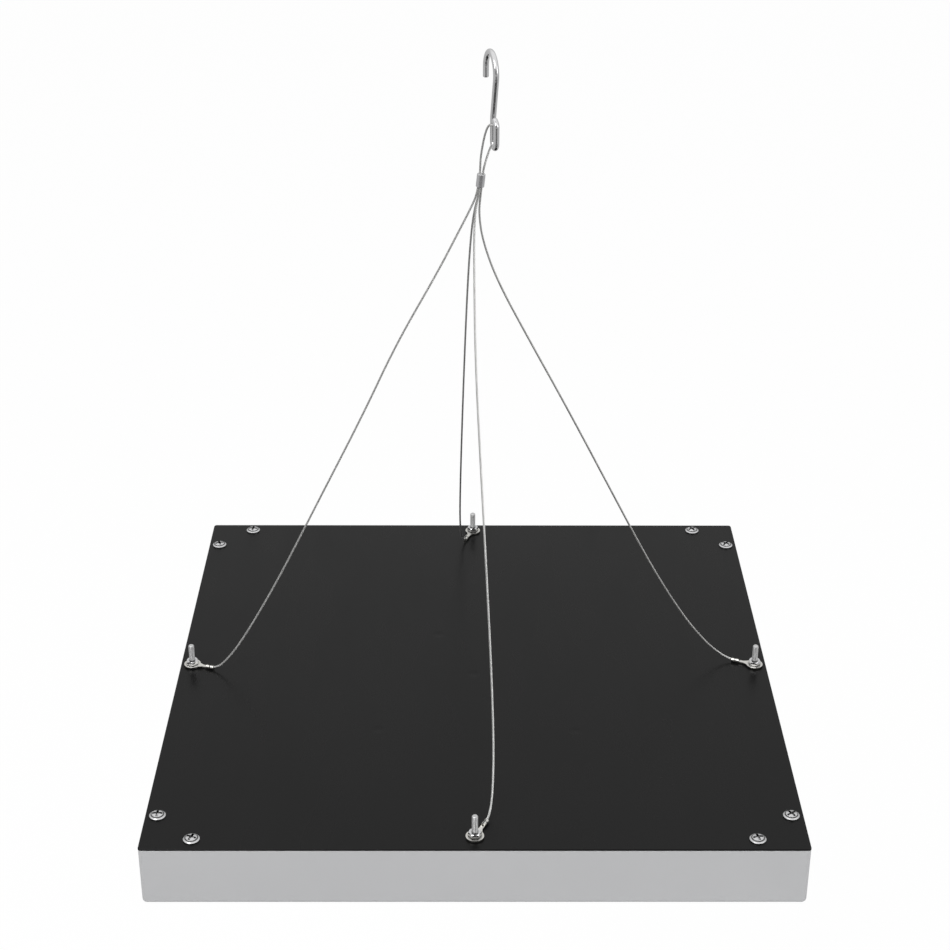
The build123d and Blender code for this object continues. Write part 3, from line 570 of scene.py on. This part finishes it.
LOOP_SPREAD, LOOP_LEAD = 0.75, 1.7


def ferrule_point(across, deep, along):
    """A point in millimetres from the middle of the ferrule's lower end, along its lean."""
    x = across * cos(FERRULE_LEAN) + along * sin(FERRULE_LEAN)
    z = along * cos(FERRULE_LEAN) - across * sin(FERRULE_LEAN)
    return FERRULE_LOW + Vector((x, deep, z)) * MM


def lug_point(side, along):
    """A point on the axis of a lug's barrel, in millimetres from the stud."""
    x, y = STUDS[side]
    turn = radians(LUG_TURNS[side])
    return on_plate(x + along * cos(turn), y + along * sin(turn), BARREL_LEVEL)


def stranded_rope(name, points):
    """Twelve outer wires laid round a core, along the route."""
    line = even_steps(nurbs_line(name, points), ROPE_LAY / STEPS_PER_LAY)
    stations = list(zip(line, carried_frames(line)))
    core = ROPE / 2 - ROPE_WIRE
    bm = bmesh.new()
    loft(bm, [ring_at(p, a, b, core, CORE_SIDES) for p, (a, b) in stations])
    for wire in range(ROPE_WIRES):
        rings = []
        for step, (p, (a, b)) in enumerate(stations):
            turn = 2 * pi * (wire / ROPE_WIRES + step / STEPS_PER_LAY)
            out = a * cos(turn) + b * sin(turn)
            rings.append(ring_at(p + out * core, out, a.cross(b).cross(out), ROPE_WIRE, WIRE_SIDES))
        loft(bm, rings)
    return to_mesh(name, bm), line


for side, route in ROUTES.items():
    bore = BORES[side]
    points = [lug_point(side, LUG_REACH - LUG_GRIP), lug_point(side, LUG_REACH + LUG_LEAD)]
    points += [on_plate(*p) for p in route]
    points += [ferrule_point(*bore, -FERRULE_LEAD), ferrule_point(*bore, FERRULE_GRIP)]
    mesh, line = stranded_rope(f"rope_{side}", points)
    rope = piece(f"rope_{side}", mesh, "wire_rope", "panel")
    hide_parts(f"hanger_wire_{side}")
    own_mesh(rope)

loop_ends = [FERRULE_LENGTH + d for d in (-FERRULE_GRIP, 0, LOOP_LEAD)]
points = [ferrule_point(-LOOP_SPREAD, 0, along) for along in loop_ends]
points += [on_plate(*p) for p in LOOP_ROUTE]
points += [ferrule_point(LOOP_SPREAD, 0, along) for along in reversed(loop_ends)]
mesh, line = stranded_rope("rope_loop", points)
loop = piece("rope_loop", mesh, "wire_rope", None)
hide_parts("wire_loop")
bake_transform(loop)


# ---------------------------------------------------------------- wires inside the case
INLET_X, TERMINAL_X, LAMP_TERMINAL_X = 60.0, 54.0, 104.0
PIN_STEP, TERMINAL_STEP = 4.3, 2.5
TAIL_Y, INLET_Z, MAINS_MOUTH_Y, LAMP_MOUTH_Y = 133.0, -9.9, 33.2, -33.2
DRIVER_LEVEL, BOARD_LEVEL = -10.6, -16.2
MAINS_WIRE, LAMP_WIRE = 1.8 * MM, 1.5 * MM
MAINS_BOWS = ((-1, 3.5), (1, 4.5))  # each wire's side, and how far it bows outwards
LAMP_REACHES = ((-1, 14.0), (1, 19.0))  # each wire's side, and how far it swings out
INSULATION_STEP, INSULATION_SIDES = 0.9 * MM, 12


def insulated_wire(name, points, diameter, finish, node):
    """A smooth round wire along the route."""
    line = even_steps(nurbs_line(name, [on_plate(*p) for p in points]), INSULATION_STEP)
    stations = zip(line, carried_frames(line))
    bm = bmesh.new()
    loft(bm, [ring_at(p, a, b, diameter / 2, INSULATION_SIDES) for p, (a, b) in stations])
    wire = piece(name, to_mesh(name, bm), finish, "panel")
    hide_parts(node)


for side, bow in MAINS_BOWS:
    out_x, in_x = INLET_X + side * PIN_STEP, TERMINAL_X + side * TERMINAL_STEP
    points = [(out_x, TAIL_Y, INLET_Z), (out_x, TAIL_Y - 9, INLET_Z),
              (out_x + side * bow, TAIL_Y - 26, DRIVER_LEVEL - 1.5),
              (in_x + side * bow, TAIL_Y - 50, DRIVER_LEVEL - 1.0),
              (in_x + side * 0.6, MAINS_MOUTH_Y + 18, DRIVER_LEVEL - 0.4),
              (in_x, MAINS_MOUTH_Y + 8, DRIVER_LEVEL), (in_x, MAINS_MOUTH_Y, DRIVER_LEVEL)]
    insulated_wire(f"mains_wire_{'left' if side < 0 else 'right'}", points, MAINS_WIRE,
                   "mains_insulation", "mains_wires")
for side, reach in LAMP_REACHES:
    out_x, in_x = TERMINAL_X + side * TERMINAL_STEP, LAMP_TERMINAL_X - side * TERMINAL_STEP
    points = [(out_x, LAMP_MOUTH_Y, DRIVER_LEVEL), (out_x, LAMP_MOUTH_Y - 8, DRIVER_LEVEL),
              (out_x + 4.5 + side, LAMP_MOUTH_Y - reach, DRIVER_LEVEL - 1.5),
              (out_x + 18 + side, LAMP_MOUTH_Y - reach - 5 - side, BOARD_LEVEL + 1.2),
              (in_x - 4 - side, LAMP_MOUTH_Y - reach + 0.5, BOARD_LEVEL + 0.3),
              (in_x, LAMP_MOUTH_Y - 8, BOARD_LEVEL), (in_x, LAMP_MOUTH_Y, BOARD_LEVEL)]
    insulated_wire(f"lamp_wire_{'left' if side < 0 else 'right'}", points, LAMP_WIRE,
                   "lamp_insulation", "lamp_wires")


# ---------------------------------------------------------------- threaded studs
STUD_RADIUS, STUD_CHAMFER = 1.5, 0.4
STUD_HEAD_RADIUS, STUD_HEAD_HEIGHT, STUD_HEAD_EDGE, HEAD_EDGE_STEPS = 2.75, 2.0, 0.6, 4
THREAD_PITCH, THREAD_DEPTH, THREAD_STEPS, THREAD_SIDES = 0.5, 0.28, 8, 24
THREAD_FLANK = 2.4  # above 2, so that the crest has a narrow flat
stud_low, stud_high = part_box("hanging_studs")
STUD_TOP = (stud_high.z - plate_top.z) / MM
STUD_FOOT = (stud_low.z - plate_top.z) / MM
HEAD_TOP = STUD_FOOT + STUD_HEAD_HEIGHT


def thread_radius(z, turn):
    """The thread's radius at a height and an angle, cut down by the chamfer at the top."""
    phase = (z / THREAD_PITCH - turn / (2 * pi)) % 1.0
    groove = min(1.0, abs(phase - 0.5) * THREAD_FLANK)
    radius = STUD_RADIUS - THREAD_DEPTH * (1.0 - groove)
    return min(radius, STUD_RADIUS - STUD_CHAMFER + (STUD_TOP - z))


def thread_ring(x, y, z):
    around = [(thread_radius(z, t), t) for t in turns(THREAD_SIDES)]
    return [on_plate(x + r * cos(t), y + r * sin(t), z) for r, t in around]


def threaded_stud(bm, x, y):
    """A round head with a rolled edge, and the threaded shank that stands on it."""
    head = [level_ring(x, y, STUD_HEAD_RADIUS - STUD_HEAD_EDGE, STUD_FOOT, THREAD_SIDES)]
    for k in range(1, HEAD_EDGE_STEPS + 1):
        a = k / HEAD_EDGE_STEPS * pi / 2
        radius = STUD_HEAD_RADIUS - STUD_HEAD_EDGE * (1 - sin(a))
        z = STUD_FOOT + STUD_HEAD_EDGE * (1 - cos(a))
        head.append(level_ring(x, y, radius, z, THREAD_SIDES))
    head.append(level_ring(x, y, STUD_HEAD_RADIUS, HEAD_TOP, THREAD_SIDES))
    head.append(level_ring(x, y, STUD_RADIUS, HEAD_TOP, THREAD_SIDES))
    loft(bm, head)
    shank = STUD_TOP - HEAD_TOP
    count = round(shank / THREAD_PITCH * THREAD_STEPS)
    loft(bm, [thread_ring(x, y, HEAD_TOP + shank * k / count) for k in range(count + 1)])


bm = bmesh.new()
for x, y in STUDS.values():
    threaded_stud(bm, x, y)
studs = piece("threaded_studs", to_mesh("threaded_studs", bm), "stud_zinc", "panel")
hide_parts("hanging_studs")
for polygon in studs.data.polygons:
    polygon.use_smooth = len(polygon.vertices) == 4


# ---------------------------------------------------------------- LED lenses
CUP_COUNT, CUP_PITCH = 15, 19.0
LED_FACE, WELL_RADIUS = -23.1, 1.0
LENS_RISE, LENS_SUNK, LENS_ARC, LENS_RINGS, LENS_SIDES = 0.55, 0.15, radians(84), 7, 16


def led_colour(column, row):
    if column % 4 == 1 and row % 4 == 1:
        return "blue"
    if column % 4 == 3 and row % 4 == 3:
        return "white" if (column + row) % 8 == 6 else "orange"
    if (column + row) % 6 == 0 and column % 2 == 0:
        return "blue"
    return "red"


def lens_dome(x, y):
    """Rings of a low dome that hangs below the LED's face, its foot sunk into the well."""
    rings = []
    for k in range(LENS_RINGS):
        a = k / (LENS_RINGS - 1) * LENS_ARC
        drop = LENS_RISE * sin(a) - LENS_SUNK * (k == 0)
        rings.append(level_ring(x, y, WELL_RADIUS * cos(a), LED_FACE - drop, LENS_SIDES))
    return rings


lens_shapes = {colour: bmesh.new() for colour in ("red", "blue", "white", "orange")}
for column in range(CUP_COUNT):
    for row in range(CUP_COUNT):
        x, y = ((n - (CUP_COUNT - 1) / 2) * CUP_PITCH for n in (column, row))
        loft(lens_shapes[led_colour(column, row)], lens_dome(x, y))
for colour, shape in lens_shapes.items():
    piece(f"lenses_{colour}", to_mesh(f"lenses_{colour}", shape), f"lens_{colour}", "panel")


# ---------------------------------------------------------------- studio
DAYLIGHT = 0.62
ROOM_BY_HEIGHT = ((0.15, 0.85), 0.62, 1.0)  # over the direction's Z, dimmer at the horizon
ROOM_BY_DEPTH = ((-0.95, -0.45), 0.45, 1.0)  # over its Y, dimmer on the camera's side
DARK_BAND = 0.5  # the Z of a dark band, which is on the camera's side only
DARK_BAND_EDGE = ((0.05, 0.18), 0.30, 1.0)
DARK_BAND_END = ((-0.4, 0.0), 0.0, 1.0)
FLOOR_SIZE, FLOOR_BELOW = 12.0, 0.55
FLOOR_GREY = (0.86, 0.86, 0.86, 1)
FLOOR_GLOW, FLOOR_WHITE = 0.93, 1.02  # how much of the camera's floor glows, and how brightly
DARK_PATCHES = (((0.1, -1.25), (1.35, 0.8)), ((0.3, -3.1), (2.2, 0.95)))  # middle, half size
DARK_PATCH_EDGE = ((0.7, 1.15), 0.04, 0.58)
LAMP_CENTRE = on_plate(0, 0, 100)
SOFTBOXES = {  # place from the centre, side in metres, watts
    "key": ((-0.9, -1.2, 1.5), 1.2, 16),
    "fill": ((1.3, -1.0, 0.8), 1.2, 7),
    "below": ((0.0, -0.6, -1.0), 1.5, 4),
}


def studio():
    """White to the camera, softer as light, and in reflections a room with a dark band."""
    world = bpy.data.worlds.new("studio")
    world.use_nodes = True
    bpy.context.scene.world = world
    room = Network(world.node_tree)

    def background(strength):
        node = room.add("ShaderNodeBackground")
        node.inputs["Color"].default_value = (1, 1, 1, 1)
        room.feed(node.inputs["Strength"], strength)
        return node.outputs["Background"]

    apart = room.add("ShaderNodeSeparateXYZ")
    room.feed(apart.inputs["Vector"], room.add("ShaderNodeTexCoord").outputs["Generated"])
    y, z = apart.outputs["Y"], apart.outputs["Z"]
    off_band = room.math("ABSOLUTE", room.math("SUBTRACT", z, DARK_BAND))
    band = room.fade(off_band, *DARK_BAND_EDGE)
    banded = room.math("MAXIMUM", band, room.fade(y, *DARK_BAND_END))
    walls = room.math("MULTIPLY", room.fade(z, *ROOM_BY_HEIGHT), room.fade(y, *ROOM_BY_DEPTH))
    mirrored = room.math("MULTIPLY", walls, banded)
    rays = room.add("ShaderNodeLightPath").outputs
    lit = room.either(rays["Is Glossy Ray"], background(DAYLIGHT), background(mirrored))
    lit = room.either(rays["Is Transmission Ray"], lit, background(1.0))
    lit = room.either(rays["Is Camera Ray"], lit, background(1.0))
    room.feed(room.tree.nodes["World Output"].inputs["Surface"], lit)


def floor(height):
    """A white floor, seen from above only, with a faint shadow and dark patches in reflections."""
    mesh = bpy.data.meshes.new("floor")
    corners = [(x * FLOOR_SIZE, y * FLOOR_SIZE, 0) for x, y in ((-1, -1), (1, -1), (1, 1), (-1, 1))]
    mesh.from_pydata(corners, [], [(0, 1, 2, 3)])
    obj = bpy.data.objects.new("floor", mesh)
    bpy.context.scene.collection.objects.link(obj)
    obj.location.z = height
    material = bpy.data.materials.new("floor")
    material.use_nodes = True
    ground = Network(material.node_tree)
    ground.tree.nodes.clear()

    def emission(strength):
        node = ground.add("ShaderNodeEmission")
        ground.feed(node.inputs["Strength"], strength)
        return node.outputs["Emission"]

    place = ground.add("ShaderNodeTexCoord").outputs["Object"]
    mirrored = 1.0
    for centre, half in DARK_PATCHES:
        offset = ground.vector_math("SUBTRACT", place, (*centre, 0))
        away = ground.vector_math("LENGTH", ground.vector_math("DIVIDE", offset, (*half, 1)))
        mirrored = ground.math("MINIMUM", ground.fade(away, *DARK_PATCH_EDGE), mirrored)

    diffuse = ground.add("ShaderNodeBsdfDiffuse")
    diffuse.inputs["Color"].default_value = FLOOR_GREY
    rays = ground.add("ShaderNodeLightPath").outputs
    seen_share = ground.math("MULTIPLY", rays["Is Camera Ray"], FLOOR_GLOW)
    lit = ground.either(seen_share, diffuse.outputs["BSDF"], emission(FLOOR_WHITE))
    lit = ground.either(rays["Is Glossy Ray"], lit, emission(mirrored))
    from_below = ground.add("ShaderNodeNewGeometry").outputs["Backfacing"]
    lit = ground.either(from_below, lit, ground.add("ShaderNodeBsdfTransparent").outputs["BSDF"])
    ground.feed(ground.add("ShaderNodeOutputMaterial").inputs["Surface"], lit)
    mesh.materials.append(material)


def softbox(name, place, side, watts):
    """A square lamp that looks at the lamps' common centre."""
    lamp = bpy.data.lights.new(name, "AREA")
    lamp.shape = "RECTANGLE"
    lamp.size = lamp.size_y = side
    lamp.energy = watts
    obj = bpy.data.objects.new(name, lamp)
    bpy.context.scene.collection.objects.link(obj)
    obj.location = LAMP_CENTRE + Vector(place)
    obj.rotation_mode = "QUATERNION"
    obj.rotation_quaternion = (LAMP_CENTRE - obj.location).to_track_quat("-Z", "Y")


studio()
floor(case_low.z - FLOOR_BELOW)
for name, (place, side, watts) in SOFTBOXES.items():
    softbox(name, place, side, watts)

bpy.context.scene.view_settings.view_transform = "Standard"
